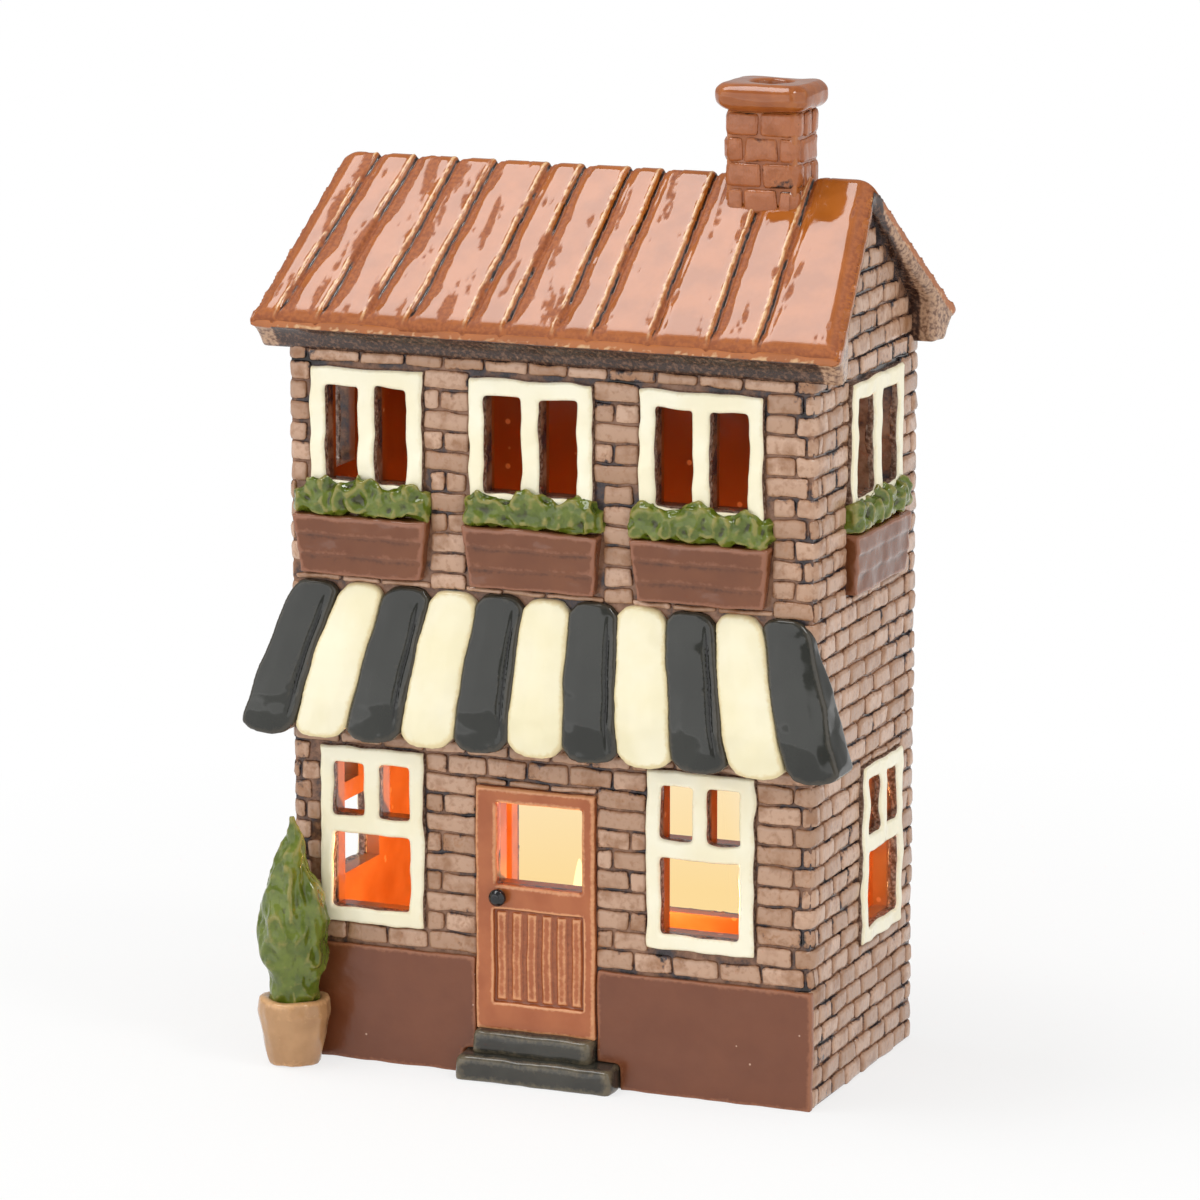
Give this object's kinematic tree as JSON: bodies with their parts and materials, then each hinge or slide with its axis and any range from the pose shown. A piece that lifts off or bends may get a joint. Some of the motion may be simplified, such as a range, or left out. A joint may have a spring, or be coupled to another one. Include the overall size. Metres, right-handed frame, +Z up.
{
  "type": "ceramic tealight house",
  "caption": "Glazed ceramic tealight house with brick walls, open window panes, a striped awning, a planked roof with a chimney flue, and a back opening for a loose tealight.",
  "frame": {"origin": "on the ground under the middle of the four walls, in the plane of the base", "axes": "+Z up, +X along the front to the right as seen from the front, +Y from the front to the back"},
  "size_m": [0.1408, 0.0859, 0.22],
  "materials": {
    "brick_glaze": "gloss",
    "rust_glaze": "gloss",
    "cream_glaze": "gloss",
    "slate_glaze": "gloss",
    "chocolate_glaze": "gloss",
    "leaf_glaze": "gloss",
    "terracotta_glaze": "gloss",
    "black_glaze": "gloss",
    "sand_glaze": "gloss",
    "amber_glaze": "gloss",
    "tealight_aluminium": "bright pressed foil",
    "candle_wax": "soft satin wax",
    "cotton_wick": "charred cotton",
    "tinned_steel": "tinned"
  },
  "bodies": {
    "house": {"awning_cream_flutes": "cream_glaze", "awning_dark_flutes": "slate_glaze", "back_brickwork": "brick_glaze", "back_roof_slope": "rust_glaze", "back_wall": "amber_glaze", "chimney_brickwork": "brick_glaze", "chimney_cap": "rust_glaze", "chimney_stack": "rust_glaze", "door_knob": "black_glaze", "door_leaf": "terracotta_glaze", "floor_slab": "amber_glaze", "front_brickwork": "brick_glaze", "front_left_flower_box": "chocolate_glaze", "front_left_foliage": "leaf_glaze", "front_left_lower_window": "cream_glaze", "front_left_upper_window": "cream_glaze", "front_middle_flower_box": "chocolate_glaze", "front_middle_foliage": "leaf_glaze", "front_middle_upper_window": "cream_glaze", "front_right_flower_box": "chocolate_glaze", "front_right_foliage": "leaf_glaze", "front_right_lower_window": "cream_glaze", "front_right_upper_window": "cream_glaze", "front_roof_slope": "rust_glaze", "front_wall": "amber_glaze", "left_gable_brickwork": "brick_glaze", "left_gable_flower_box": "chocolate_glaze", "left_gable_foliage": "leaf_glaze", "left_gable_lower_window": "cream_glaze", "left_gable_upper_window": "cream_glaze", "left_gable_wall": "amber_glaze", "left_plinth": "chocolate_glaze", "lower_step": "slate_glaze", "plant_pot": "sand_glaze", "right_gable_brickwork": "brick_glaze", "right_gable_flower_box": "chocolate_glaze", "right_gable_foliage": "leaf_glaze", "right_gable_lower_window": "cream_glaze", "right_gable_upper_window": "cream_glaze", "right_gable_wall": "amber_glaze", "right_plinth": "chocolate_glaze", "shrub": "leaf_glaze", "upper_step": "slate_glaze"},
    "tealight": {"tealight_cup": "tealight_aluminium", "tealight_wax": "candle_wax", "wick": "cotton_wick", "wick_sustainer": "tinned_steel"}
  },
  "joints": [
    {"name": "tealight_draw_out", "type": "slide", "parent": "house", "child": "tealight", "axis": [0, 0.6097, 0.7926], "range_m": [0, 0.104]}
  ]
}
